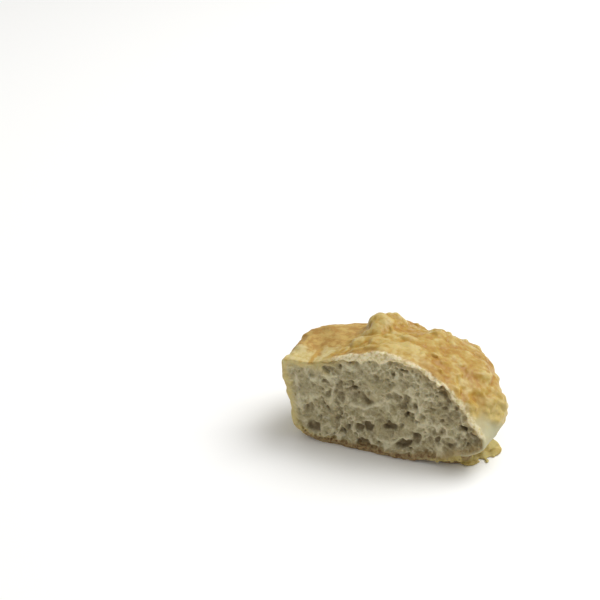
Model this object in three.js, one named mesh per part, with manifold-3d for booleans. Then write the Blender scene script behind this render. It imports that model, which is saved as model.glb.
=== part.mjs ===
// One lobe of a cheese-topped bread roll, cut from its neighbours and resting on its base.
// The cut face looks to -Y, X runs along it and Z is up. Lengths are in millimetres.
import * as THREE from "three";
import { mergeVertices } from "three/addons/utils/BufferGeometryUtils.js";
import Module from "manifold-3d";

// Driving dimensions: the finished piece's overall size.
const WIDTH = 110;
const DEPTH = 80;
const HEIGHT = 57;

// Outline of the cut face, [x, z], anticlockwise from the sharp lower right corner, over the crown to the
// upper left corner, down the upright left side and along the base.
const CUT_OUTLINE = [
  [51, 15],
  [43, 30],
  [33, 42],
  [17, 50],
  [0, 53],
  [-18, 49],
  [-36, 42],
  [-52, 39],
  [-50, 22],
  [-46, 5],
  [-33, -1],
  [-8, -2],
  [17, 1],
  [36, 6],
];
const OUTLINE_MIDDLE_Z = 24;

// The back of the lobe is a plainer oval: its half width, its heights above and below the middle, how
// square it is, and the depths between which the cut's outline turns into it.
const BACK_HALF_WIDTH = 46;
const BACK_RISE = 27;
const BACK_DROP = 24;
const BACK_POWER = 2.3;
const BLEND_FROM = 14;
const BLEND_TO = 62;

// Where the back starts to close, how squarely it does, and how far its middle sinks.
const ROUND_FROM = 26;
const ROUND_POWER = 2.3;
const MIDDLE_SINK = 7;

// Swells of the crust behind the cut, and hollows where the height is negative: angle round the section
// (0 = right, 90 = up) and its spread, depth behind the cut and its spread, and height.
const RIGHT_SHOULDER = { angle: 15, fan: 20, depth: 28, run: 18, height: 4 };
const RIGHT_BULGE = { angle: 5, fan: 12, depth: 20, run: 12, height: 7 };
const SAGGING_UNDERSIDE = { angle: -40, fan: 15, depth: 45, run: 18, height: 7 };
const CROWN_HILL = { angle: 115, fan: 13, depth: 40, run: 14, height: 7 };
const CROWN_KNOB = { angle: 60, fan: 9, depth: 46, run: 10, height: 3 };
const LEFT_SHOULDER = { angle: 155, fan: 12, depth: 35, run: 18, height: 9 };
const FALL_TO_BACK = { angle: 70, fan: 35, depth: 62, run: 18, height: -5 };
const SWELLS = [
  RIGHT_SHOULDER,
  RIGHT_BULGE,
  SAGGING_UNDERSIDE,
  CROWN_HILL,
  CROWN_KNOB,
  LEFT_SHOULDER,
  FALL_TO_BACK,
];

// The thin skirt of cheese that ran down the right side and baked onto the tray.
const SKIRT_CENTRE = [20, 34];
const SKIRT_FROM = -52;
const SKIRT_TO = 8;
const SKIRT_STEPS = 24;
const SKIRT_ROOT = 12;
const SKIRT_REACH = 29;
const SKIRT_SPREAD = 6.5;
const SKIRT_LIFT = 8;
const SKIRT_EDGE = 1.2;
const SKIRT_RAGGED = 0.8;
// Waves that make its edge ragged: turns per degree round the skirt in radians, start and strength.
const SKIRT_WAVES = [
  [0.21, 0, 1],
  [0.53, 1, 0.7],
  [1.1, 0, 0.5],
];

const SECTIONS = 34;
const SECTION_POINTS = 72;
const MERGE_DISTANCE = 0.001;
const CRUST_COLOUR = 0xd9b877;

const wasm = await Module();
wasm.setup();

const degrees = THREE.MathUtils.degToRad;

// The cut outline as [angle, radius] round its middle, in order of angle.
const polarOutline = CUT_OUTLINE.map(([x, z]) => [
  Math.atan2(z - OUTLINE_MIDDLE_Z, x),
  Math.hypot(x, z - OUTLINE_MIDDLE_Z),
]).sort((a, b) => a[0] - b[0]);

// The outline's point number i, counting on round the section in either direction.
function outlinePoint(i) {
  const count = polarOutline.length;
  const turns = Math.floor(i / count);
  const [angle, radius] = polarOutline[i - turns * count];
  return [angle + 2 * Math.PI * turns, radius];
}

function outlineSlope(i) {
  const [fromAngle, fromRadius] = outlinePoint(i - 1);
  const [toAngle, toRadius] = outlinePoint(i + 1);
  return (toRadius - fromRadius) / (toAngle - fromAngle);
}

// Radius of the cut face at an angle from -PI to PI: a smooth curve through the outline's points.
function cutRadius(angle) {
  let i = polarOutline.length - 1;
  while (i >= 0 && outlinePoint(i)[0] > angle) i -= 1;
  const [fromAngle, fromRadius] = outlinePoint(i);
  const [toAngle, toRadius] = outlinePoint(i + 1);
  const gap = toAngle - fromAngle;
  const t = (angle - fromAngle) / gap;
  const rise = toRadius - fromRadius;
  const startBend = outlineSlope(i) * gap - rise;
  const endBend = outlineSlope(i + 1) * gap - rise;
  return fromRadius + t * rise + t * (1 - t) * (startBend * (1 - t) - endBend * t);
}

function angleBetween(a, b) {
  return Math.abs(Math.atan2(Math.sin(a - b), Math.cos(a - b)));
}

function swellHeight(angle, depth) {
  let height = 0;
  for (const swell of SWELLS) {
    const round = angleBetween(angle, degrees(swell.angle)) / degrees(swell.fan);
    const along = (depth - swell.depth) / swell.run;
    height += swell.height * Math.exp(-round * round - along * along);
  }
  return height;
}

// Radius of the plain oval at the back.
function backRadius(angle) {
  const across = Math.abs(Math.cos(angle)) / BACK_HALF_WIDTH;
  const up = Math.abs(Math.sin(angle)) / (angle > 0 ? BACK_RISE : BACK_DROP);
  return (across ** BACK_POWER + up ** BACK_POWER) ** (-1 / BACK_POWER);
}

// A point on the lobe's surface, at an angle round the section and a depth behind the cut.
function lobePoint(angle, depth) {
  const blend = THREE.MathUtils.smoothstep(depth, BLEND_FROM, BLEND_TO);
  const outline = THREE.MathUtils.lerp(cutRadius(angle), backRadius(angle), blend);
  const backward = Math.max(depth - ROUND_FROM, 0) / (DEPTH - ROUND_FROM);
  const shrink = Math.max(1 - backward ** ROUND_POWER, 0) ** (1 / ROUND_POWER);
  const radius = (outline + swellHeight(angle, depth)) * shrink;
  const middle = OUTLINE_MIDDLE_Z - MIDDLE_SINK * (depth / DEPTH) ** 2;
  return [radius * Math.cos(angle), depth, middle + radius * Math.sin(angle)];
}

function solidFrom(points, triangles) {
  const geometry = new THREE.BufferGeometry();
  geometry.setAttribute("position", new THREE.Float32BufferAttribute(points.flat(), 3));
  geometry.setIndex(triangles);
  return toSolid(geometry);
}

function toSolid(geometry) {
  geometry.deleteAttribute("normal");
  geometry.deleteAttribute("uv");
  const merged = mergeVertices(geometry, MERGE_DISTANCE);
  return new wasm.Manifold(
    new wasm.Mesh({
      numProp: 3,
      vertProperties: merged.attributes.position.array,
      triVerts: new Uint32Array(merged.index.array),
    }),
  );
}

function toGeometry(solid) {
  const mesh = solid.getMesh();
  const geometry = new THREE.BufferGeometry();
  geometry.setAttribute("position", new THREE.BufferAttribute(mesh.vertProperties, 3));
  geometry.setIndex(new THREE.BufferAttribute(mesh.triVerts, 1));
  return geometry;
}

// Joins equal rings of points into a closed skin, with a fan to one point at each end.
function ringSolid(rings, frontPoint, backPoint) {
  const size = rings[0].length;
  const front = rings.length * size;
  const back = front + 1;
  const lastRing = (rings.length - 1) * size;
  const triangles = [];
  for (let j = 0; j < size; j++) {
    const next = (j + 1) % size;
    triangles.push(front, j, next);
    triangles.push(back, lastRing + next, lastRing + j);
    for (let i = 0; i < rings.length - 1; i++) {
      const here = i * size;
      const beyond = here + size;
      triangles.push(here + j, beyond + j, beyond + next);
      triangles.push(here + j, beyond + next, here + next);
    }
  }
  return solidFrom([...rings.flat(), frontPoint, backPoint], triangles);
}

// The whole lobe behind the cut, before its base is pressed flat. Sections gather towards the back.
function lobe() {
  const rings = [];
  for (let i = 0; i < SECTIONS; i++) {
    const depth = DEPTH * Math.sin((Math.PI / 2) * (i / SECTIONS));
    const ring = [];
    for (let j = 0; j < SECTION_POINTS; j++) {
      const angle = Math.PI * ((2 * j) / SECTION_POINTS - 1);
      ring.push(lobePoint(angle, depth));
    }
    rings.push(ring);
  }
  return ringSolid(rings, [0, 0, OUTLINE_MIDDLE_Z], lobePoint(0, DEPTH));
}

// How far the skirt's ragged edge reaches at an angle in degrees.
function skirtReach(angle) {
  const along = (angle - SKIRT_FROM) / (SKIRT_TO - SKIRT_FROM);
  const spread = SKIRT_SPREAD * Math.sqrt(Math.max(Math.sin(Math.PI * along), 0));
  let ragged = 0;
  for (const [rate, start, strength] of SKIRT_WAVES) {
    ragged += strength * Math.sin(rate * angle + start);
  }
  return SKIRT_REACH + spread + SKIRT_RAGGED * ragged;
}

function cheeseSkirt() {
  const [centreX, centreY] = SKIRT_CENTRE;
  const rings = [];
  for (let i = 0; i <= SKIRT_STEPS; i++) {
    const angle = SKIRT_FROM + ((SKIRT_TO - SKIRT_FROM) * i) / SKIRT_STEPS;
    const reach = skirtReach(angle);
    const at = (radius, z) => {
      const x = centreX + radius * Math.cos(degrees(angle));
      const y = centreY + radius * Math.sin(degrees(angle));
      return [x, y, z];
    };
    rings.push([at(reach, 0), at(reach, SKIRT_EDGE), at(SKIRT_ROOT, SKIRT_LIFT), at(SKIRT_ROOT, 0)]);
  }
  const middleOf = (ring) => [0, 1, 2].map((axis) => (ring[0][axis] + ring[2][axis]) / 2);
  return ringSolid(rings, middleOf(rings[0]), middleOf(rings[SKIRT_STEPS]));
}

// The space above the tray.
function aboveTray() {
  const side = 4 * WIDTH;
  const geometry = new THREE.BoxGeometry(side, side, side);
  geometry.translate(0, 0, side / 2);
  return toSolid(geometry);
}

// Moves and scales a geometry so that its box is the finished size, with its base centred on the origin.
function fitToSize(geometry) {
  geometry.computeBoundingBox();
  const { min, max } = geometry.boundingBox;
  geometry.translate(-(min.x + max.x) / 2, -(min.y + max.y) / 2, -min.z);
  geometry.scale(WIDTH / (max.x - min.x), DEPTH / (max.y - min.y), HEIGHT / (max.z - min.z));
  return geometry;
}

const solid = lobe().add(cheeseSkirt()).intersect(aboveTray());
const crust = new THREE.MeshStandardMaterial({ color: CRUST_COLOUR, roughness: 0.7, metalness: 0 });
const roll = new THREE.Mesh(fitToSize(toGeometry(solid)), crust);
roll.name = "bread_roll";

const group = new THREE.Group();
group.add(roll);

export default group;
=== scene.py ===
"""The cut lobe of a cheese-topped bread roll: its crust, melted cheese and airy crumb as one closed mesh.

The lobe is worked out as a distance field on a box of voxels, in millimetres: the same lobe as the CAD
solid, with melted cheese laid on it, a cut face with pores, a rough base and a skirt of cheese. The field's
zero surface becomes the mesh, which replaces the CAD node.
"""
import math

import bpy
import numpy as np
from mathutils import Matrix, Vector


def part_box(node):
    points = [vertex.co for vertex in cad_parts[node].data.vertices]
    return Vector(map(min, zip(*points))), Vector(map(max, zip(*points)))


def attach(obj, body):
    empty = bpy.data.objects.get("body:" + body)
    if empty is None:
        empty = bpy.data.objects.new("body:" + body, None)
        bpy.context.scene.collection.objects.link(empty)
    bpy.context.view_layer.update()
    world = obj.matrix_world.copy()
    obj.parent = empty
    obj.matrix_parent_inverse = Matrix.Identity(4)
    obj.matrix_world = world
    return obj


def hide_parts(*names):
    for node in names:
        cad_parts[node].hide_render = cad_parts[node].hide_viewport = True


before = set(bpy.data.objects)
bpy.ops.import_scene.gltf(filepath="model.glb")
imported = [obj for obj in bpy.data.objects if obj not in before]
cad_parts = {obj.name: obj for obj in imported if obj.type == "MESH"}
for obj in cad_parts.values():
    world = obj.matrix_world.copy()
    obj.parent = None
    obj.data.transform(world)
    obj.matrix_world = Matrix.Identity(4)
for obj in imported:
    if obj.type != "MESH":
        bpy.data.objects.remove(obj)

import openvdb
from mathutils import Vector

NODE = "bread_roll"
# A millimetre in metres, the voxels' side in millimetres, and a distance beyond any in the field.
MM = 0.001
VOXEL = 0.4
FAR = 50.0

# The lobe, as in the CAD source, in millimetres. The cut face is at depth 0.
CUT_OUTLINE = [
    (51, 15), (43, 30), (33, 42), (17, 50), (0, 53), (-18, 49), (-36, 42), (-52, 39),
    (-50, 22), (-46, 5), (-33, -1), (-8, -2), (17, 1), (36, 6),
]
OUTLINE_MIDDLE_Z = 24
DEPTH = 80
BACK_HALF_WIDTH = 46
BACK_RISE = 27
BACK_DROP = 24
BACK_POWER = 2.3
BLEND_FROM = 14
BLEND_TO = 62
ROUND_FROM = 26
ROUND_POWER = 2.3
MIDDLE_SINK = 7
# Swells of the crust, and a hollow where the height is negative: angle, fan, depth, run and height.
RIGHT_SHOULDER = (15, 20, 28, 18, 4)
RIGHT_BULGE = (5, 12, 20, 12, 7)
SAGGING_UNDERSIDE = (-40, 15, 45, 18, 7)
CROWN_HILL = (115, 13, 40, 14, 7)
CROWN_KNOB = (60, 9, 46, 10, 3)
LEFT_SHOULDER = (155, 12, 35, 18, 9)
FALL_TO_BACK = (70, 35, 62, 18, -5)
SWELLS = [
    RIGHT_SHOULDER, RIGHT_BULGE, SAGGING_UNDERSIDE, CROWN_HILL, CROWN_KNOB, LEFT_SHOULDER, FALL_TO_BACK,
]

# The skirt of cheese at the right of the base: its centre, the angles round that it lies between, and how far
# it reaches.
SKIRT_CENTRE = (20, 34)
SKIRT_FROM = -58
SKIRT_TO = 6
SKIRT_REACH = 36.5

# The point that the camera looks at, and from where: degrees to the right of the cut face's square view,
# degrees above the table, and metres away. The lens and the sensor are in millimetres.
CAMERA_AIM = (-0.047, -0.033, 0.073)
CAMERA_TURN = 22.8
CAMERA_RISE = 24.7
CAMERA_DISTANCE = 0.69
LENS = 85
SENSOR = 36


# ---------------------------------------------------------------- small maths

def smooth_step(low, high, value):
    t = np.clip((value - low) / (high - low), 0, 1)
    return t * t * (3 - 2 * t)


def smooth_max(a, b, rounding):
    h = np.maximum(rounding - np.abs(a - b), 0) / rounding
    return np.maximum(a, b) + h * h * rounding / 4


def smooth_min(a, b, rounding):
    return -smooth_max(-a, -b, rounding)


def mix(a, b, amount):
    return a + (b - a) * amount


def away(places, middle, spread):
    """Squared distance from a middle, counted in spreads."""
    return ((places - middle) / spread) ** 2


# ---------------------------------------------------------------- voxels and noise

class Grid:
    """A box of voxels, with open arrays x, y and z of their places in millimetres."""

    def __init__(self, low, high, voxel):
        self.low = np.array(low, dtype=np.float32)
        self.voxel = voxel
        counts = [int(math.ceil((b - a) / voxel)) + 1 for a, b in zip(low, high)]
        self.shape = tuple(counts)
        self.axes = [(a + voxel * np.arange(n)).astype(np.float32) for a, n in zip(low, counts)]
        self.x = self.axes[0][:, None, None]
        self.y = self.axes[1][None, :, None]
        self.z = self.axes[2][None, None, :]

    def block(self, centre, reach):
        """Slices of the voxels within reach of a centre."""
        slices = []
        for axis in range(3):
            first = int((centre[axis] - reach - self.low[axis]) / self.voxel)
            last = int((centre[axis] + reach - self.low[axis]) / self.voxel) + 2
            first = min(max(first, 0), self.shape[axis])
            slices.append(slice(first, max(min(last, self.shape[axis]), first)))
        return tuple(slices)

    def sample(self, field, points):
        """A field's values at points, between the voxels."""
        place = (points - self.low) / self.voxel
        last = np.array(field.shape) - 1
        place = np.clip(place, 0, np.maximum(last - 0.001, 0))
        cell = place.astype(np.int32)
        part = (place - cell).astype(np.float32)
        total = np.zeros(len(points), dtype=np.float32)
        for corner in range(8):
            step = np.array([corner & 1, corner >> 1 & 1, corner >> 2 & 1])
            weight = np.prod(np.where(step, part, 1 - part), axis=1)
            i, j, k = np.minimum(cell + step, last).T
            total += weight * field[i, j, k]
        return total

    def front(self, depth):
        """The part of the grid up to a depth behind the cut, as a grid and as slices of this one."""
        layers = int((depth - self.low[1]) / self.voxel)
        high = (self.axes[0][-1], self.axes[1][layers], self.axes[2][-1])
        slab = Grid(self.low, high, self.voxel)
        return slab, (slice(None), slice(0, slab.shape[1]), slice(None))

    def plane(self):
        """One layer of voxels in the plane of the cut."""
        return Grid((self.low[0], 0, self.low[2]), (self.axes[0][-1], 0, self.axes[2][-1]), self.voxel)


def spline_weights(places, spacing):
    """Weights of each place on a row of lattice points, for a smooth cubic spline."""
    t = (places - places[0]) / spacing + 1
    away = np.abs(t[:, None] - np.arange(int(t[-1]) + 3)[None, :])
    inner = 2 / 3 - away ** 2 + away ** 3 / 2
    outer = (2 - away) ** 3 / 6
    return np.where(away < 1, inner, np.where(away < 2, outer, 0)).astype(np.float32)


def noise(grid, spacing, seed):
    """Smooth random noise over the grid, with lumps about as wide as spacing and a spread of 1."""
    if np.isscalar(spacing):
        spacing = (spacing, spacing, spacing)
    weights = [spline_weights(axis, s) for axis, s in zip(grid.axes, spacing)]
    counts = [w.shape[1] for w in weights]
    field = np.random.default_rng(seed).standard_normal(counts).astype(np.float32)
    for w in weights:
        field = np.tensordot(field, w, (0, 1))
    return field / field.std()


def layers(grid, recipe):
    """A sum of noises, each row of the recipe giving one's strength, spacing and seed."""
    return sum(strength * noise(grid, spacing, seed) for strength, spacing, seed in recipe)


def blur(field, passes):
    """Softens a field by averaging neighbours along each axis."""
    for _ in range(passes):
        for axis in range(3):
            ahead = np.roll(field, 1, axis)
            behind = np.roll(field, -1, axis)
            field = (2 * field + ahead + behind) / 4
    return field


# ---------------------------------------------------------------- the lobe

def outline_table():
    """Angles and radii all round the cut face, on a smooth curve through the outline's points."""
    polar = sorted((math.atan2(z - OUTLINE_MIDDLE_Z, x), math.hypot(x, z - OUTLINE_MIDDLE_Z))
                   for x, z in CUT_OUTLINE)
    count = len(polar)
    turn = 2 * math.pi
    knots = [(angle + lap * turn, radius) for lap in (-1, 0, 1) for angle, radius in polar]
    angles = []
    radii = []
    for i in range(count - 1, 2 * count + 1):
        (a0, r0), (a1, r1), (a2, r2), (a3, r3) = knots[i - 1:i + 3]
        gap = a2 - a1
        rise = r2 - r1
        start_bend = (r2 - r0) / (a2 - a0) * gap - rise
        end_bend = (r3 - r1) / (a3 - a1) * gap - rise
        t = np.linspace(0, 1, 24, endpoint=False)
        angles.append(a1 + t * gap)
        radii.append(r1 + t * rise + t * (1 - t) * (start_bend * (1 - t) - end_bend * t))
    return np.concatenate(angles), np.concatenate(radii)


OUTLINE_ANGLES, OUTLINE_RADII = outline_table()


def lobe_radius(angle, depth):
    """Radius of the lobe's section at an angle and a depth behind the cut."""
    cut = np.interp(angle, OUTLINE_ANGLES, OUTLINE_RADII).astype(np.float32)
    across = np.abs(np.cos(angle)) / BACK_HALF_WIDTH
    up = np.abs(np.sin(angle)) / np.where(angle > 0, BACK_RISE, BACK_DROP)
    back = (across ** BACK_POWER + up ** BACK_POWER) ** (-1 / BACK_POWER)
    radius = mix(cut, back, smooth_step(BLEND_FROM, BLEND_TO, depth))
    for swell_angle, fan, swell_depth, run, height in SWELLS:
        turn = angle - math.radians(swell_angle)
        turn = np.abs((turn + math.pi) % (2 * math.pi) - math.pi) / math.radians(fan)
        along = (depth - swell_depth) / run
        radius = radius + height * np.exp(-turn ** 2) * np.exp(-along ** 2)
    backward = np.clip((depth - ROUND_FROM) / (DEPTH - ROUND_FROM), 0, 1)
    return radius * (1 - backward ** ROUND_POWER) ** (1 / ROUND_POWER)


def middle_height(depth):
    return OUTLINE_MIDDLE_Z - MIDDLE_SINK * (np.clip(depth, 0, DEPTH) / DEPTH) ** 2


# How steep the field may be taken to be; the upper limit keeps the middle, where angles crowd, deep inside.
STEEPNESS = (0.8, 2.5)


def lobe_field(grid):
    """Distance from the lobe's surface, negative inside, before the cut and the base are made."""
    depth = np.clip(grid.y, 0, DEPTH)
    z = grid.z - middle_height(depth)
    angle = np.arctan2(z, grid.x).astype(np.float32)
    field = np.hypot(z, grid.x) - lobe_radius(angle, depth)
    steep = np.sqrt(sum(g ** 2 for g in np.gradient(field, grid.voxel)))
    return (field / np.clip(steep, *STEEPNESS)).astype(np.float32)


# ---------------------------------------------------------------- the crust and its cheese

# The cheese's left edge on the crown, its lower edge on the sides and how far it runs down them, its edge
# along the cut, and how softly it ends.
CHEESE_LEFT = -29
CHEESE_LEFT_LEAN = 0.2
CHEESE_LOW = 27
CHEESE_RUNS = 8
CHEESE_RUNS_FROM_CUT = (6, 22)
CHEESE_FROM_CUT = 1.5
CHEESE_SOFTNESS = 4
# Noises are listed as strength in millimetres, spacing in millimetres and seed.
CHEESE_EDGE = [(2.2, 9, 11), (1.1, 3.5, 12)]
CHEESE_GRAIN = [(0.1, 1.3, 20)]
BARE_LUMPS = [(0.16, 4, 26), (0.06, 1.4, 25)]
TORN_FLANK = [(0.35, 3.2, 27), (0.15, 1.4, 28)]
# Strengths of the relief: broad swaying of the whole crust, then the cheese's thickness, folds, ripples and
# blisters, then the wrinkles of the bare crust.
BROAD = 0.4
CHEESE_THICKNESS = 0.3
FOLDS = 0.65
RIPPLES = 0.46
BLISTERS = 0.26
WRINKLES = 0.16
# The bare crust swells behind the upper left corner, and the corner is drawn out to a tip: how high each
# stands, then middle and spread along each axis.
CORNER_RISE = 3
CORNER_X = (-48, 6)
CORNER_Y = (13, 8)
TIP_RISE = 1.8
TIP_X = (-52, 3)
TIP_Y = (1, 4)
TIP_Z = (40, 2.5)


def cheese_cover(grid):
    """How much cheese lies on each place: 1 on the crown, 0 on the bare crust."""
    wobble = layers(grid, CHEESE_EDGE)
    left = grid.x - CHEESE_LEFT - CHEESE_LEFT_LEAN * grid.y + wobble
    behind_cut = smooth_step(*CHEESE_RUNS_FROM_CUT, grid.y)
    runs = CHEESE_RUNS * np.maximum(noise(grid, (8, 8, 40), 13) - 0.4, 0) * behind_cut
    low = grid.z - CHEESE_LOW + 1.5 * wobble + runs
    front = grid.y - CHEESE_FROM_CUT + 0.5 * wobble
    cover = smooth_step(-CHEESE_SOFTNESS / 3, CHEESE_SOFTNESS / 3, left)
    cover *= smooth_step(-CHEESE_SOFTNESS, CHEESE_SOFTNESS, low)
    cover *= smooth_step(-1.5, 2.5, front)
    return cover.astype(np.float32)


def pillows(field):
    """Turns noise into rounded lumps that meet in soft creases, with an average of about nothing."""
    return np.sqrt(field ** 2 + 0.06) - 0.85


def cheese_relief(grid):
    """Height of the cheese's folds, ripples and blisters."""
    folds = pillows(noise(grid, (13, 7, 6), 19) + 0.3 * noise(grid, 4, 18))
    ripples = pillows(noise(grid, (6, 3.8, 3.4), 23) + 0.5 * noise(grid, 2.4, 24))
    blisters = pillows(noise(grid, 2.4, 29))
    lumps = FOLDS * folds + RIPPLES * ripples + BLISTERS * blisters
    return lumps + layers(grid, CHEESE_GRAIN) + CHEESE_THICKNESS


def bare_relief(grid):
    """Height of the bare crust's lumps, less its wrinkles, with the swell behind the upper left corner."""
    wrinkles = WRINKLES * np.abs(noise(grid, (10, 10, 2.6), 30)) * smooth_step(4, 20, grid.y)
    corner = CORNER_RISE * np.exp(-away(grid.x, *CORNER_X) - away(grid.y, *CORNER_Y))
    return layers(grid, BARE_LUMPS) - wrinkles + corner * smooth_step(30, 38, grid.z)


def crust_relief(grid, cover):
    """Height of the bare crust's and the cheese's relief, and of the torn left flank and its tip."""
    torn = smooth_step(-44, -50, grid.x) * layers(grid, TORN_FLANK)
    tip = TIP_RISE * np.exp(-away(grid.x, *TIP_X) - away(grid.y, *TIP_Y) - away(grid.z, *TIP_Z))
    broad = BROAD * noise(grid, 13, 21)
    return broad + mix(bare_relief(grid), cheese_relief(grid), cover) + torn + tip


def stamp_ball(field, grid, centre, radius, margin):
    """Lowers a distance field to a ball's, near the ball."""
    block = grid.block(centre, radius + margin)
    gap = np.sqrt((grid.x[block[0]] - centre[0]) ** 2 + (grid.y[:, block[1]] - centre[1]) ** 2
                  + (grid.z[:, :, block[2]] - centre[2]) ** 2) - radius
    field[block] = np.minimum(field[block], gap)


# ---------------------------------------------------------------- the cut face and its crumb

# The depth behind the cut that the crumb's pores may reach.
SLAB_DEPTH = 15
# The lip of crust round the crown: its width, where it is broad (middle x, half length and width), and how
# far the crumb lies behind it.
LIP_THIN = 0.9
LIP_PATCHES = [(-13, 17, 3.0), (24, 5, 3.0), (42, 5, 2.8)]
LIP_RECESS = 0.6
LIP_RAGGED = [(0.35, 5, 40), (0.12, 1.8, 39)]
# The crack between crust and crumb: its depth, how far past the lip it lies and its half width.
CRACK_DEPTH = 1.3
CRACK_PAST_LIP = 0.6
CRACK_WIDTH = 0.5
# How softly the crust turns over into the cut face, and how much more softly along the crown.
EDGE_SHARP = 0.9
EDGE_SOFTER = 2.0
FACE_WAVY = [(0.7, 17, 41), (0.4, 6, 42)]
FACE_RAGGED = [(0.35, 3.5, 36), (0.22, 1.3, 35)]
CRUMB_TORN = [(0.3, 1.5, 43), (0.25, 0.95, 44), (0.35, 2.6, 46)]

# Cells of the cut face that stand out: middle x and z, half width, half height, depth, and tilt in degrees.
CELLS = [
    # A row of open cells along the base, from the left.
    (-35, 8, 4, 2.5, 2.5, -35), (-26, 4, 2.5, 1.5, 1.5, 0), (-12, 12, 3, 2, 2, 0), (-7, 14, 2.5, 3, 3, 0),
    (-10, 5, 3.5, 2.5, 4, 0), (-4, 4, 2.5, 1.2, 2, 0), (4, 16, 3, 2, 3, 0), (8, 14, 6, 4, 1, 0),
    (10, 9, 5, 2.3, 3.5, 8), (17, 11, 3.5, 2.5, 2, 0), (19, 5, 3, 1, 1, 0),
    # Smooth, wide ones towards the sharp right corner, with a small deep pit among them.
    (28, 17, 4, 3, 1.5, 0), (34, 13, 4.5, 3, 1.3, 0), (44, 17, 4.5, 3.5, 1.5, 0), (36, 27, 3.5, 5, 1.7, 8),
    (41, 22, 2, 1.7, 4, 0), (28, 13, 1.4, 1.2, 2.2, 0),
    # Shallow ones in the finer crumb of the middle and the upper left.
    (-9, 28, 9, 5, 1, 6), (-23, 30, 4.5, 6, 0.8, 0), (5, 31, 3.5, 2.4, 2, 0), (13, 24, 2, 1.5, 2.2, 0),
    (17, 21, 1.5, 1.3, 1.5, 0), (-29, 27, 2, 2, 1.6, 0), (-30, 33, 2.5, 1.2, 1.2, 0),
    (-32, 21, 2, 1.5, 1.3, 0), (-39, 18, 3, 2, 1, 0),
    # A slit under the crown, and the gap where the crumb parted from the right shoulder's crust.
    (10, 46, 3, 1, 2, -14), (26, 40, 3.5, 1, 1, -28), (31, 37, 4.5, 1.5, 1.4, -36),
    (36, 33, 3, 1.5, 1.6, -44),
]
CELL_SPREAD = 1.12
PORES = [
    # how many, smallest and largest half width, and depth
    (150, 1.3, 2.4, 1.3),
    (650, 0.7, 1.3, 0.95),
    (3200, 0.4, 0.75, 0.85),
]
# Thin standing walls of crumb: two ends, each x and z, and width. Their strength is out of 1.
WALL_STRENGTH = 0.95
WALLS = [
    (-45, 25, -42, 16, 1.0), (-26, 34, -27, 23, 0.9), (-16, 24, -8, 23, 0.9), (-8, 23, 0, 28, 1.0),
    (13, 36, 14, 32, 1.5), (26, 21, 27, 18, 0.9), (-2, 9, 4, 7, 1.0), (4, 7, 14, 12, 1.0),
]


def openness(x, z):
    """How coarse the crumb is: fine by the left flank and the crown, coarse by the base and the right."""
    return np.clip(0.62 + 0.006 * (x + 50) + 0.012 * (34 - z), 0.45, 1.35)


def filaments(plane, spacing, width, seed):
    """Thin wandering threads round cells about as wide as spacing: 1 on a thread, 0 between."""
    return np.exp(-(noise(plane, spacing, seed) / width) ** 2)


def sink_bowl(depth, plane, warp, x, z, halves, deep, tilt, floor=0.5):
    """Deepens the map to a soft-edged bowl, warped a little so that it is not a clean oval.

    Its floor reaches out to that part of its half width.
    """
    block = plane.block((x, 0, z), 1.5 * max(halves) + 1)
    across = plane.x[block[0]] - x + warp[0][block]
    up = plane.z[:, :, block[2]] - z + warp[1][block]
    cos, sin = math.cos(math.radians(tilt)), math.sin(math.radians(tilt))
    along = (across * cos + up * sin) / halves[0]
    over = (up * cos - across * sin) / halves[1]
    depth[block] = np.maximum(depth[block], deep * smooth_step(1.2, floor, np.hypot(along, over)))


def cell_warp(plane):
    return [0.4 * noise(plane, 2.4, seed) + 0.25 * noise(plane, 1.1, seed + 1) for seed in (52, 54)]


def bowls(plane):
    """Depth of the cells and pores in the cut face."""
    rng = np.random.default_rng(51)
    depth = np.zeros(plane.shape, dtype=np.float32)
    warp = cell_warp(plane)
    for x, z, half_width, half_height, deep, tilt in CELLS:
        halves = (CELL_SPREAD * half_width, CELL_SPREAD * half_height)
        sink_bowl(depth, plane, warp, x, z, halves, deep, tilt, 0.7)
    for count, smallest, largest, deepest in PORES:
        for _ in range(count):
            x = rng.uniform(-53, 53)
            z = rng.uniform(0, 54)
            size = rng.uniform(smallest, largest) * openness(x, z)
            halves = (size * rng.uniform(0.8, 1.5), size * rng.uniform(0.7, 1.1))
            deep = deepest * openness(x, z) * rng.uniform(0.2, 1)
            sink_bowl(depth, plane, warp, x, z, halves, deep, rng.uniform(-35, 35))
    return depth


def cell_map(plane, growth):
    """1 within the cells that stand out, grown by so many millimetres, and 0 outside them."""
    inside = np.zeros(plane.shape, dtype=np.float32)
    warp = cell_warp(plane)
    for x, z, half_width, half_height, _, tilt in CELLS:
        sink_bowl(inside, plane, warp, x, z, (half_width + growth, half_height + growth), 1, tilt)
    return inside


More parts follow.
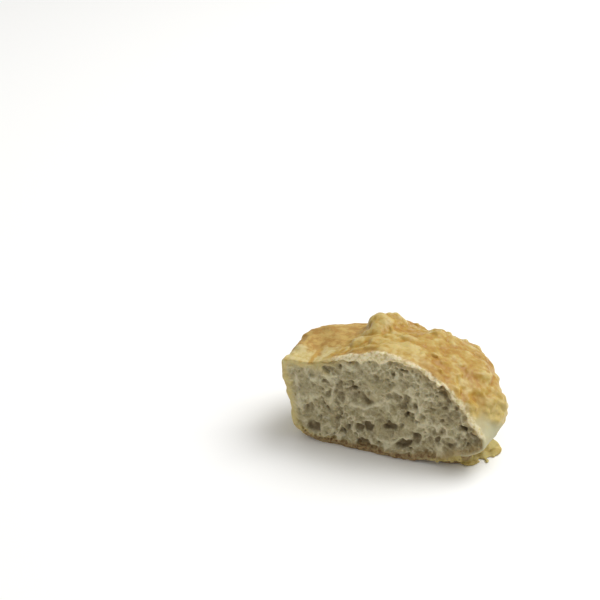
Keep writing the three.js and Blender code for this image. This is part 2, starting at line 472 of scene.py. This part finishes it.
def standing_walls(plane):
    """The crumb's torn threads and standing walls: 1 along one, 0 between."""
    broken = smooth_step(-1.4, 0.9, noise(plane, 3.2, 56))
    threads = np.maximum(filaments(plane, 4.6, 0.22, 57), 0.85 * filaments(plane, 2.7, 0.26, 58))
    threads = np.maximum(threads, 0.7 * filaments(plane, 1.6, 0.28, 59)) * broken
    bend_x = 0.5 * noise(plane, 3, 47)
    bend_z = 0.5 * noise(plane, 3, 48)
    threads = threads * (1 - 0.8 * cell_map(plane, 0))
    edges = cell_map(plane, 0.5)
    rims = 4 * edges * (1 - edges) * smooth_step(-1.0, 1.0, noise(plane, 3, 38))
    threads = np.maximum(threads, 0.5 * rims)
    for x0, z0, x1, z1, width in WALLS:
        across = plane.x - x0 + bend_x
        up = plane.z - z0 + bend_z
        run = (x1 - x0, z1 - z0)
        t = np.clip((across * run[0] + up * run[1]) / (run[0] ** 2 + run[1] ** 2), 0, 1)
        gap = np.hypot(across - t * run[0], up - t * run[1])
        threads = np.maximum(threads, WALL_STRENGTH * np.exp(-(gap / width) ** 2))
    return threads


def lip_width(slab):
    """Width of the plain lip round the crown of the cut face, which is broad in a few patches only."""
    crown = smooth_step(17, 24, slab.z)
    width = LIP_THIN * smooth_step(-34, -26, slab.x)
    for middle, half, broad in LIP_PATCHES:
        width = np.maximum(width, broad * np.exp(-((slab.x - middle) / half) ** 4))
    return crown * width * np.maximum(1 + layers(slab, LIP_RAGGED), 0.1)


def tightness(grid, inside):
    """1 where the crumb is dense, in a band under the crust at the upper left, and 0 where it is open."""
    leftward = smooth_step(-16, -36, grid.x)
    band = 3.5 + 3 * leftward + 1.2 * noise(grid, 6, 32)
    return leftward * smooth_step(band, 0.5 * band, inside) * smooth_step(4, 10, grid.z)


def face_depth(slab, inside, lip):
    """How far the cut face as a whole lies behind its flat plane: sunken under a lip of crust."""
    crown = smooth_step(16, 30, slab.z) * smooth_step(-52, -30, slab.x)
    sunken = LIP_RECESS * crown * smooth_step(lip, lip + 1.6, inside)
    parted = smooth_step(-0.2, 0.9, noise(slab, 11, 37)) * smooth_step(22, 34, slab.z)
    parted = np.maximum(parted, smooth_step(-46, -40, slab.x) * smooth_step(-2, -8, slab.x))
    crack = CRACK_DEPTH * parted * np.exp(-away(inside - lip, CRACK_PAST_LIP, CRACK_WIDTH))
    wavy = layers(slab, FACE_WAVY) * smooth_step(0.8, 6, inside)
    return sunken + crack + wavy + layers(slab, FACE_RAGGED)


def crumb_relief(plane, walls):
    """How far the crumb is torn in behind the face."""
    coarse = np.clip(0.9 + 0.4 * noise(plane, 11, 45), 0.3, 1.8)
    hollow = (0.6 * coarse + bowls(plane)) * (1 - 0.85 * np.minimum(walls, 1))
    return hollow + layers(plane, CRUMB_TORN)


# ---------------------------------------------------------------- base and skirt

def base_height(grid):
    """The underside's height: flat on the tray, with shallow pits in the brown crust."""
    pits = np.maximum(noise(grid, 2.2, 61), 0) ** 2
    return 0.12 * pits + 0.1 * np.maximum(noise(grid, 7, 62), 0)


# Drips of cheese under the cut's lower right edge: how many, where the row starts and ends, and their size.
DRIPS = 8
DRIPS_FROM = (27, 0.6, 3)
DRIPS_TO = (39, 0.8, 6.5)
DRIP_SIZE = 1.3
# The foot of the loaf below its raised right end: middle x and y, half width, half depth and height.
FOOT_X = 27
FOOT_Y = 24
FOOT_HALF_WIDTH = 15.5
FOOT_HALF_DEPTH = 19
FOOT_HEIGHT = 8
# The skirt's profile: the radius that its root lies at, its thickness, how high it climbs the crust and over
# which radii, and where its swollen rim starts and ends, counted from its edge.
SKIRT_ROOT = 20
SKIRT_THICKNESS = 1.2
SKIRT_CLIMB = 5
SKIRT_CLIMB_OVER = (21, 31)
SKIRT_RIM = (-6, -1)
# How blunt its outline is at its two ends, where along it the ends fade out, and the tongue that runs on
# along the cut: how far, at what angle and how wide.
SKIRT_BLUNTNESS = (0.2, 0.8)
SKIRT_FADE = (0.15, 0.6)
SKIRT_RAGGED = [(0.9, 3.6, 71), (0.6, 1.7, 72)]
TONGUE_REACH = 4
TONGUE_ANGLE = -50
TONGUE_FAN = 8
# Small pits scattered along the crease between the crust and the skirt: how many, the angles round the
# skirt's centre that they lie between, how far out and how high, and their radius.
CREASE_PITS = 7
CREASE_FROM = -50
CREASE_TO = 0
CREASE_REACH = 30
CREASE_HEIGHT = 3.5
CREASE_PIT_SIZE = 0.9


def drips(field, grid):
    """Lets a row of drips run down under the cut's lower right edge."""
    rng = np.random.default_rng(76)
    for i in range(DRIPS):
        along = i / (DRIPS - 1)
        centre = [mix(a, b, along) + rng.uniform(-0.4, 0.4) for a, b in zip(DRIPS_FROM, DRIPS_TO)]
        stamp_ball(field, grid, centre, DRIP_SIZE * rng.uniform(0.7, 1.25), 2)


def crease_pits(grid):
    """Distance from the small pits in the crease between the crust and the skirt."""
    rng = np.random.default_rng(77)
    field = np.full(grid.shape, FAR, dtype=np.float32)
    for _ in range(CREASE_PITS):
        angle = math.radians(rng.uniform(CREASE_FROM, CREASE_TO))
        reach = CREASE_REACH + rng.uniform(-1, 1)
        x = SKIRT_CENTRE[0] + reach * math.cos(angle)
        y = SKIRT_CENTRE[1] + reach * math.sin(angle)
        z = CREASE_HEIGHT + rng.uniform(-0.7, 0.7)
        stamp_ball(field, grid, (x, y, z), CREASE_PIT_SIZE * rng.uniform(0.6, 1.3), 2)
    return field


def skirt_field(grid):
    """A ragged apron of cheese that ran down the right side and baked onto the tray."""
    x = grid.x - SKIRT_CENTRE[0]
    y = grid.y - SKIRT_CENTRE[1]
    angle = np.degrees(np.arctan2(y, x))
    radius = np.hypot(x, y)
    along = np.clip((angle - SKIRT_FROM) / (SKIRT_TO - SKIRT_FROM), 0, 1)
    bulge = np.maximum(np.sin(math.pi * along), 0) ** mix(*SKIRT_BLUNTNESS, along)
    tongue = TONGUE_REACH * np.exp(-away(angle, TONGUE_ANGLE, TONGUE_FAN))
    ends = smooth_step(0, SKIRT_FADE[0], along) * smooth_step(1, SKIRT_FADE[1], along)
    ragged = layers(grid, SKIRT_RAGGED)
    reach = SKIRT_ROOT + (SKIRT_REACH - SKIRT_ROOT + ragged * ends) * bulge + tongue
    rim = smooth_step(*SKIRT_RIM, radius - reach)
    climb = SKIRT_CLIMB * (1 - smooth_step(*SKIRT_CLIMB_OVER, radius)) ** 1.3 * ends
    top = SKIRT_THICKNESS + climb + 0.45 * noise(grid, 2.8, 73) + (0.7 + 0.4 * noise(grid, 2, 74)) * rim
    field = smooth_max((grid.z - top) * 0.8, radius - reach, 1.2).astype(np.float32)
    drips(field, grid)
    return field


def foot_field(grid):
    """The part of the underside that reaches the tray behind the cut's raised right end."""
    across = np.abs(grid.x - FOOT_X) / FOOT_HALF_WIDTH
    along = np.abs(grid.y - FOOT_Y) / FOOT_HALF_DEPTH
    squarish = (across ** 4 + along ** 4) ** 0.25
    side = (squarish - 1) * FOOT_HALF_WIDTH + 0.3 * noise(grid, 3, 75)
    return smooth_max(side, grid.z - FOOT_HEIGHT, 2.5).astype(np.float32)


# ---------------------------------------------------------------- fields to mesh

def edge_rounding(slab):
    """How softly the crust turns over into the cut face: more along the crown than elsewhere."""
    crown = smooth_step(16, 32, slab.z) * smooth_step(-34, -18, slab.x)
    uneven = np.clip(1 + 0.4 * noise(slab, 9, 34), 0.3, 1.8)
    return EDGE_SHARP + EDGE_SOFTER * crown * uneven


def bread_fields(grid):
    """The whole piece's distance field, and the fields that its colours are worked out from."""
    lobe = lobe_field(grid)
    cover = cheese_cover(grid)
    lobe = lobe - crust_relief(grid, cover)
    skirt = skirt_field(grid)
    foot = foot_field(grid)
    lobe = smooth_min(smooth_min(lobe, foot, 2.0), skirt, 0.8)
    lobe = smooth_max(lobe, -crease_pits(grid), 0.3)
    outer = smooth_max(lobe, base_height(grid) - grid.z, 1.0)
    slab, part = grid.front(SLAB_DEPTH)
    plane = grid.plane()
    walls = standing_walls(plane)
    lip = lip_width(slab)
    face = face_depth(slab, -outer[part], lip)
    open_crumb = smooth_step(0, 2.2, -outer[part] - lip) * (1 - 0.8 * tightness(slab, -outer[part]))
    relief = crumb_relief(plane, walls) * open_crumb
    relief = relief + 0.2 * noise(slab, 1.1, 33) * smooth_step(0.2, 1, -outer[part])
    cut = smooth_max(outer[part], face + relief - slab.y, edge_rounding(slab))
    field = outer.copy()
    field[part] = cut
    parts = {"inside": -outer, "face": face, "lip": lip, "walls": walls}
    parts.update({"cover": cover, "skirt": skirt, "foot": foot})
    return field, parts


def outer_shell(points, faces):
    """Drops every closed pocket and loose crumb: only the largest joined surface stays."""
    label = np.arange(len(points))
    while True:
        lowest = label[faces].min(axis=1)
        new = label.copy()
        for corner in range(3):
            np.minimum.at(new, faces[:, corner], lowest)
        new = new[new]
        if np.array_equal(new, label):
            break
        label = new
    largest = np.bincount(label).argmax()
    keep = label == largest
    order = np.cumsum(keep) - 1
    return points[keep], order[faces[keep[faces[:, 0]]]]


def surface(grid, field):
    """Points and triangles of the field's zero surface, facing out."""
    volume = openvdb.FloatGrid(FAR)
    volume.copyFromArray(np.clip(field, -2, 2).astype(np.float32))
    points, triangles, quads = volume.convertToPolygons(isovalue=0.0, adaptivity=0.0)
    faces = np.concatenate([triangles, quads[:, [0, 1, 2]], quads[:, [0, 2, 3]]]).astype(np.int64)
    points = points * grid.voxel + grid.low
    a, b, c = (points[faces[:, i]] for i in range(3))
    if np.einsum("ij,ij->", a, np.cross(b, c)) < 0:
        faces = faces[:, ::-1]
    return outer_shell(points, faces)


# ---------------------------------------------------------------- the piece

# The box of voxels in millimetres, and the most triangles that the mesh keeps.
GRID_LOW = (-57, -2.5, -1.5)
GRID_HIGH = (59, 83, 61)
FACES_KEPT = 185000


def plain_box():
    """The CAD solid's box before it is fitted to size: the lobe and its skirt, above the tray."""
    angle = np.linspace(-math.pi, math.pi, 721)[:, None]
    depth = np.linspace(0, DEPTH, 161)[None, :]
    radius = lobe_radius(angle, depth)
    x = radius * np.cos(angle)
    z = middle_height(depth) + radius * np.sin(angle)
    x = x[z > 0]
    return np.array([x.min(), 0, 0]), np.array([x.max(), DEPTH, z.max()])


def fit_to_frame(points):
    """Puts points in grid millimetres where the CAD node is, in metres."""
    low, high = plain_box()
    node_low, node_high = (np.array(corner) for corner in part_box(NODE))
    return node_low + (points - low) * (node_high - node_low) / (high - low)


def mesh_object(name, points, faces):
    mesh = bpy.data.meshes.new(name)
    mesh.vertices.add(len(points))
    mesh.vertices.foreach_set("co", points.astype(np.float32).ravel())
    mesh.loops.add(3 * len(faces))
    mesh.loops.foreach_set("vertex_index", faces.astype(np.int32).ravel())
    mesh.polygons.add(len(faces))
    mesh.polygons.foreach_set("loop_start", np.arange(0, 3 * len(faces), 3, dtype=np.int32))
    mesh.update(calc_edges=True)
    mesh.validate()
    thing = bpy.data.objects.new(name, mesh)
    bpy.context.collection.objects.link(thing)
    return thing


def thin_out(thing):
    """Collapses edges, flattest first, until FACES_KEPT triangles are left."""
    modifier = thing.modifiers.new("thin_out", "DECIMATE")
    modifier.ratio = min(FACES_KEPT / len(thing.data.polygons), 1)
    with bpy.context.temp_override(object=thing, active_object=thing, selected_objects=[thing]):
        bpy.ops.object.modifier_apply(modifier=modifier.name)


def vertex_places(mesh):
    places = np.empty(3 * len(mesh.vertices), dtype=np.float32)
    mesh.vertices.foreach_get("co", places)
    return places.reshape(-1, 3)


def add_attribute(mesh, name, values):
    layer = mesh.attributes.new(name, "FLOAT", "POINT")
    layer.data.foreach_set("value", np.asarray(values, dtype=np.float32))


def make_bread():
    grid = Grid(GRID_LOW, GRID_HIGH, VOXEL)
    field, parts = bread_fields(grid)
    points, faces = surface(grid, field)
    bread = mesh_object("bread", points, faces)
    thin_out(bread)
    points = vertex_places(bread.data)
    inside = grid.sample(parts["inside"], points)
    past_lip = inside - grid.sample(parts["lip"], points)
    behind = points[:, 1] - grid.sample(parts["face"], points)
    # How far each place bends outward: the cheese's colour uses it for painted light on crests and painted
    # shade in creases.
    bend_for_painted_light_and_shade = grid.sample(blur(np.clip(field, -4, 4), 24) - np.clip(field, -4, 4), points)
    add_attribute(bread.data, "inside", inside)
    add_attribute(bread.data, "past_lip", past_lip)
    add_attribute(bread.data, "behind", behind)
    add_attribute(bread.data, "walls", grid.plane().sample(parts["walls"], points))
    add_attribute(bread.data, "cheese", grid.sample(parts["cover"], points))
    add_attribute(bread.data, "skirt", smooth_step(1.2, 0.3, grid.sample(parts["skirt"], points)))
    add_attribute(bread.data, "foot", smooth_step(1.5, 0.3, grid.sample(parts["foot"], points)))
    add_attribute(bread.data, "swell", bend_for_painted_light_and_shade)
    bread.data.vertices.foreach_set("co", fit_to_frame(points).astype(np.float32).ravel())
    bread.data.polygons.foreach_set("use_smooth", np.ones(len(bread.data.polygons), dtype=bool))
    bread.data.update()
    return bread


# ---------------------------------------------------------------- the bread's material

class Shader:
    """Shorthand for building a node material."""

    def __init__(self, name):
        self.material = bpy.data.materials.new(name)
        self.material.use_nodes = True
        self.tree = self.material.node_tree
        self.surface = self.tree.nodes["Principled BSDF"]

    def node(self, kind, **settings):
        node = self.tree.nodes.new(kind)
        for key, value in settings.items():
            setattr(node, key, value)
        return node

    def link(self, value, socket):
        if isinstance(value, (int, float)):
            socket.default_value = value
        elif isinstance(value, tuple):
            socket.default_value = value if len(value) == 4 else (*value, 1)
        else:
            self.tree.links.new(value, socket)

    def math(self, operation, a, b=0.0, clamp=False):
        node = self.node("ShaderNodeMath", operation=operation, use_clamp=clamp)
        self.link(a, node.inputs[0])
        self.link(b, node.inputs[1])
        return node.outputs[0]

    def span(self, value, low, high, start=0.0, end=1.0):
        """Start where the value is low, end where it is high, and smooth between."""
        node = self.node("ShaderNodeMapRange", interpolation_type="SMOOTHSTEP")
        for socket, number in zip(node.inputs, (value, low, high, start, end)):
            self.link(number, socket)
        return node.outputs[0]

    def attribute(self, name):
        return self.node("ShaderNodeAttribute", attribute_name=name).outputs["Fac"]

    def noise(self, places, size, detail=3.0, roughness=0.55):
        """Noise from 0 to 1 whose lumps are about size millimetres wide."""
        node = self.node("ShaderNodeTexNoise")
        self.link(places, node.inputs["Vector"])
        node.inputs["Scale"].default_value = 1 / size
        node.inputs["Detail"].default_value = detail
        node.inputs["Roughness"].default_value = roughness
        return node.outputs["Fac"]

    def cells(self, places, size):
        """Distance to the nearest of many scattered points about size millimetres apart."""
        node = self.node("ShaderNodeTexVoronoi", feature="SMOOTH_F1")
        self.link(places, node.inputs["Vector"])
        node.inputs["Scale"].default_value = 1 / size
        return node.outputs["Distance"]

    def blend(self, amount, a, b):
        node = self.node("ShaderNodeMix", data_type="RGBA")
        self.link(amount, node.inputs["Factor"])
        self.link(a, node.inputs["A"])
        self.link(b, node.inputs["B"])
        return node.outputs["Result"]


# Colours are linear red, green and blue. STREAK_X is where the orange streak crosses the cream crust.
CHEESE_CREAM = (0.56, 0.43, 0.155)
CHEESE_GOLD = (0.44, 0.275, 0.048)
CHEESE_ORANGE = (0.39, 0.20, 0.025)
CHEESE_YELLOW = (0.47, 0.36, 0.11)
CRUST_GOLD = (0.49, 0.33, 0.10)
CRUST_BROWN = (0.37, 0.205, 0.05)
CRUST_PALE = (0.47, 0.44, 0.27)
CRUST_CREAM = (0.60, 0.50, 0.24)
CRUST_YELLOW = (0.50, 0.38, 0.13)
CRUST_TAN = (0.46, 0.34, 0.14)
CRUST_STREAK = (0.47, 0.29, 0.07)
STREAK_X = -37.5
# The crust's pale torn edge along the crown, lightened further as a painted highlight.
PALE_EDGE_HIGHLIGHT = (0.80, 0.71, 0.47)
CRUMB = (0.38, 0.325, 0.18)
CRUMB_PALE = (0.62, 0.565, 0.38)
# Painted shade: the dark colour deep in the crumb's pores.
CRUMB_PORE_SHADE = (0.18, 0.135, 0.068)
CRUMB_DENSE = (0.62, 0.51, 0.22)
CRUMB_TOASTED = (0.37, 0.26, 0.10)
SKIRT_PALE = (0.54, 0.45, 0.18)
SKIRT_YELLOW = (0.40, 0.30, 0.09)
BASE_TAN = (0.42, 0.31, 0.15)
BASE_BROWN = (0.22, 0.13, 0.055)
CRUST_ROUGHNESS = 0.8
CHEESE_ROUGHNESS = 0.36
SPECULAR = 0.3
# Light spreads a little way under the surface: how much of it, how far each colour goes, and how deep.
SUBSURFACE = 0.35
SUBSURFACE_RADIUS = (1.0, 0.6, 0.25)
SUBSURFACE_DEPTH = 1.4
BUMP_STRENGTH = 0.6
BUMP_HEIGHT = 0.35


def cheese_colour(shader, mm, height, swell):
    """Gold slopes and orange, well baked patches, paler and yellower down the sides; painted light makes the
    crests and the hill's top creamier, painted shade the creases golder.
    """
    patches = shader.noise(mm, 11, 3, 0.55)
    fleck = shader.noise(mm, 2.8, 3, 0.6)
    bake = shader.math("ADD", shader.math("MULTIPLY", patches, 2.4), shader.math("MULTIPLY", fleck, 1.6))
    # Painted light and shade: crests are made creamier and creases more golden and orange.
    bake = shader.math("ADD", bake, shader.math("MULTIPLY", swell, -0.7))
    # Painted light: the top of the hill is made creamier, as if the lamp above lit it more.
    bake = shader.math("SUBTRACT", bake, shader.span(height, 50, 56, 0, 0.25))
    colour = shader.blend(shader.span(bake, 1.3, 2.0), CHEESE_CREAM, CHEESE_GOLD)
    colour = shader.blend(shader.span(bake, 1.9, 2.4), colour, CHEESE_ORANGE)
    mottled = shader.blend(shader.span(fleck, 0.4, 0.6), CHEESE_CREAM, CHEESE_YELLOW)
    level = shader.math("ADD", height, shader.math("MULTIPLY", patches, 14))
    return shader.blend(shader.span(level, 44, 34), colour, mottled)


def crust_colour(shader, mm, split, behind):
    """Golden-brown on the crown, pale down the sides, and cream with orange streaks along the cut."""
    patches = shader.noise(mm, 11, 4)
    level = shader.math("ADD", split.outputs["Z"], shader.math("MULTIPLY", patches, 16))
    mottle = shader.noise(mm, 5, 5, 0.65)
    baked = shader.blend(shader.span(mottle, 0.39, 0.61), CRUST_GOLD, CRUST_BROWN)
    backward = shader.math("MULTIPLY", shader.span(behind, 14, 50), 0.85)
    tanned = shader.math("ADD", backward, shader.span(split.outputs["Z"], 12, 2, 0, 0.4))
    tan = shader.math("MULTIPLY", tanned, shader.span(mottle, 0.3, 0.7))
    pale = shader.blend(tan, CRUST_PALE, CRUST_TAN)
    colour = shader.blend(shader.span(level, 30, 46), pale, baked)
    edge = shader.math("ADD", behind, shader.math("MULTIPLY", shader.noise(mm, 7, 4), 30))
    wander = shader.math("MULTIPLY", shader.noise(mm, 3, 3), 3)
    wandering = shader.math("ADD", split.outputs["X"], wander)
    beside = shader.math("ABSOLUTE", shader.math("SUBTRACT", wandering, STREAK_X))
    cream = shader.blend(shader.span(shader.noise(mm, 2.5, 4), 0.4, 0.7), CRUST_CREAM, CRUST_YELLOW)
    cream = shader.blend(shader.span(beside, 1.7, 0.5), cream, CRUST_STREAK)
    leftward = shader.span(split.outputs["X"], -18, -26)
    return shader.blend(shader.math("MULTIPLY", shader.span(edge, 31, 25), leftward), colour, cream)


def skirt_colour(shader, mm):
    """Pale yellow cheese with deeper patches where it is thin."""
    return shader.blend(shader.span(shader.noise(mm, 4, 4), 0.4, 0.65), SKIRT_PALE, SKIRT_YELLOW)


def crumb_colour(shader, mm, split, behind, inside):
    """Pale torn walls and hollows darkened with their depth as painted shade, a dense yellow band at the
    left, browner close under the crust.
    """
    walls = shader.attribute("walls")
    fuzz = shader.math("MULTIPLY", shader.noise(mm, 1.1, 4, 0.7), 1.8)
    colour = shader.blend(shader.span(shader.math("ADD", walls, fuzz), 0.6, 1.9), CRUMB, CRUMB_PALE)
    # Painted shade: the crumb darkens the deeper it lies behind the cut face.
    colour = shader.blend(shader.span(shader.math("SUBTRACT", behind, fuzz), -0.4, 2.6), colour, CRUMB_PORE_SHADE)
    edge = shader.math("ADD", inside, shader.math("MULTIPLY", shader.noise(mm, 4), 5))
    near_crust = shader.span(edge, 8, 4)
    left = shader.span(split.outputs["X"], -18, -36)
    band = shader.blend(left, CRUMB_TOASTED, CRUMB_DENSE)
    strength = shader.span(left, 0, 1, 0.7, 0.85)
    colour = shader.blend(shader.math("MULTIPLY", near_crust, strength), colour, band)
    low = shader.span(split.outputs["Z"], 6, 4)
    baked = shader.blend(shader.span(shader.noise(mm, 1.4, 4), 0.4, 0.65), BASE_TAN, BASE_BROWN)
    return shader.blend(shader.math("MULTIPLY", low, shader.span(inside, 3.8, 2)), colour, baked)


def base_colour(shader, mm):
    """The brown, speckled crust of the underside."""
    return shader.blend(shader.span(shader.noise(mm, 1.8, 4), 0.4, 0.65), BASE_TAN, BASE_BROWN)


def pale_edge_highlight_mask(shader, mm, split, behind):
    """1 on the frayed, pale edge of the crust along the crown of the cut, which is also lightened as a
    painted highlight, and 0 elsewhere.
    """
    frayed = shader.math("ADD", behind, shader.math("MULTIPLY", shader.noise(mm, 3.5, 5, 0.65), 7))
    crown = shader.math("MULTIPLY", shader.span(frayed, 6.5, 3.8), shader.span(split.outputs["Z"], 17, 24))
    return shader.math("MULTIPLY", crown, shader.span(split.outputs["X"], -30, -24))


def cut_open(shader, mm, inside):
    """1 on the crumb, past the ragged lip of crust round it, and 0 on the crust."""
    fuzz = shader.math("MULTIPLY", shader.math("SUBTRACT", shader.noise(mm, 2, 4), 0.5), 2)
    within = shader.math("MAXIMUM", shader.math("ADD", shader.attribute("past_lip"), fuzz), 0)
    return shader.span(shader.math("MINIMUM", within, inside), 0.3, 1.6)


def bread_colour(shader, mm, split, inside):
    """Crust, cheese, base, skirt, the pale crust edge with its painted highlight, and crumb, laid over each
    other in that order.
    """
    height = split.outputs["Z"]
    behind = shader.attribute("behind")
    skirt = shader.attribute("skirt")
    cheese = cheese_colour(shader, mm, height, shader.attribute("swell"))
    colour = shader.blend(shader.attribute("cheese"), crust_colour(shader, mm, split, behind), cheese)
    ragged = shader.math("MULTIPLY", shader.noise(mm, 2.5), -2.4)
    low = shader.span(shader.math("ADD", height, ragged), 2.5, 0.4)
    bare_base = shader.math("MULTIPLY", low, shader.span(skirt, 0.6, 0.1))
    # The underside's own brown crust, and the same brown carried up the foot's sides under the raised right
    # end as painted shade.
    underside_and_foot_shade = shader.math("MAXIMUM", bare_base, shader.attribute("foot"))
    colour = shader.blend(underside_and_foot_shade, colour, base_colour(shader, mm))
    colour = shader.blend(skirt, colour, skirt_colour(shader, mm))
    # Painted highlight: the crust's pale edge along the crown is lightened where it turns up toward the
    # light.
    pale_edge_highlight = shader.blend(shader.span(shader.noise(mm, 1.6, 3), 0.45, 0.65), PALE_EDGE_HIGHLIGHT, CRUST_CREAM)
    colour = shader.blend(pale_edge_highlight_mask(shader, mm, split, behind), colour, pale_edge_highlight)
    crumb = crumb_colour(shader, mm, split, behind, inside)
    return shader.blend(cut_open(shader, mm, inside), colour, crumb)


def bread_grain(shader, mm, inside):
    """A fine bump: grain everywhere, and tiny pores in the crumb."""
    grain = shader.noise(mm, 0.8, 4, 0.65)
    pores = shader.math("MULTIPLY", shader.cells(mm, 0.9), shader.span(inside, 0.8, 1.6))
    bump = shader.node("ShaderNodeBump")
    bump.inputs["Strength"].default_value = BUMP_STRENGTH
    bump.inputs["Distance"].default_value = BUMP_HEIGHT * MM
    shader.link(shader.math("ADD", grain, pores), bump.inputs["Height"])
    return bump.outputs[0]


def bread_material():
    shader = Shader("bread")
    coordinates = shader.node("ShaderNodeTexCoord").outputs["Object"]
    scaled = shader.node("ShaderNodeVectorMath", operation="SCALE")
    shader.link(coordinates, scaled.inputs[0])
    scaled.inputs["Scale"].default_value = 1 / MM
    mm = scaled.outputs[0]
    split = shader.node("ShaderNodeSeparateXYZ")
    shader.link(mm, split.inputs[0])
    inside = shader.attribute("inside")

    sockets = shader.surface.inputs
    sockets["Subsurface Weight"].default_value = SUBSURFACE
    sockets["Subsurface Radius"].default_value = SUBSURFACE_RADIUS
    sockets["Subsurface Scale"].default_value = SUBSURFACE_DEPTH * MM
    sockets["Specular IOR Level"].default_value = SPECULAR
    oily = shader.math("MULTIPLY", shader.attribute("cheese"), shader.span(inside, 1.2, 0.3))
    shader.link(bread_colour(shader, mm, split, inside), sockets["Base Color"])
    shader.link(shader.span(oily, 0, 1, CRUST_ROUGHNESS, CHEESE_ROUGHNESS), sockets["Roughness"])
    shader.link(bread_grain(shader, mm, inside), sockets["Normal"])
    return shader.material


# ---------------------------------------------------------------- the stage

FLOOR_SIZE = 12.0
FLOOR_COLOUR = (0.93, 0.93, 0.92, 1)
FLOOR_ROUGHNESS = 0.6
FLOOR_SPECULAR = 0.2
WORLD_COLOUR = (1.0, 0.99, 0.97, 1)
WORLD_STRENGTH = 0.5
# The one lamp, a large soft square: its place, what it faces, its side in metres and its power.
LAMP_PLACE = (0.8, 0.8, 1.8)
LAMP_TARGET = (0, 0.1, 0)
LAMP_SIDE = 1.6
LAMP_POWER = 44


def make_floor():
    half = FLOOR_SIZE / 2
    mesh = bpy.data.meshes.new("floor")
    corners = [(-half, -half, 0), (half, -half, 0), (half, half, 0), (-half, half, 0)]
    mesh.from_pydata(corners, [], [(0, 1, 2, 3)])
    floor = bpy.data.objects.new("floor", mesh)
    bpy.context.collection.objects.link(floor)
    shader = Shader("floor")
    shader.surface.inputs["Base Color"].default_value = FLOOR_COLOUR
    shader.surface.inputs["Roughness"].default_value = FLOOR_ROUGHNESS
    shader.surface.inputs["Specular IOR Level"].default_value = FLOOR_SPECULAR
    mesh.materials.append(shader.material)


def aim(thing, target):
    direction = Vector(target) - thing.location
    thing.rotation_euler = direction.to_track_quat("-Z", "Y").to_euler()


def make_light(name, place, target, size, power):
    data = bpy.data.lights.new(name, "AREA")
    data.size = size
    data.energy = power
    light = bpy.data.objects.new(name, data)
    light.location = place
    bpy.context.collection.objects.link(light)
    aim(light, target)


def make_world():
    world = bpy.data.worlds.new("studio")
    world.use_nodes = True
    background = world.node_tree.nodes["Background"]
    background.inputs["Color"].default_value = WORLD_COLOUR
    background.inputs["Strength"].default_value = WORLD_STRENGTH
    bpy.context.scene.world = world


def make_camera():
    data = bpy.data.cameras.new("camera")
    data.lens = LENS
    data.sensor_width = SENSOR
    camera = bpy.data.objects.new("camera", data)
    turn = math.radians(CAMERA_TURN)
    rise = math.radians(CAMERA_RISE)
    outward = Vector((math.sin(turn) * math.cos(rise), -math.cos(turn) * math.cos(rise), math.sin(rise)))
    camera.location = Vector(CAMERA_AIM) + CAMERA_DISTANCE * outward
    bpy.context.collection.objects.link(camera)
    aim(camera, CAMERA_AIM)
    bpy.context.scene.camera = camera


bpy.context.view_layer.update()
bread = make_bread()
bread.data.materials.append(bread_material())
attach(bread, "root")
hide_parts(NODE)
make_floor()
make_light("overhead", LAMP_PLACE, LAMP_TARGET, LAMP_SIDE, LAMP_POWER)
make_world()
make_camera()
bpy.context.scene.view_settings.view_transform = "Standard"
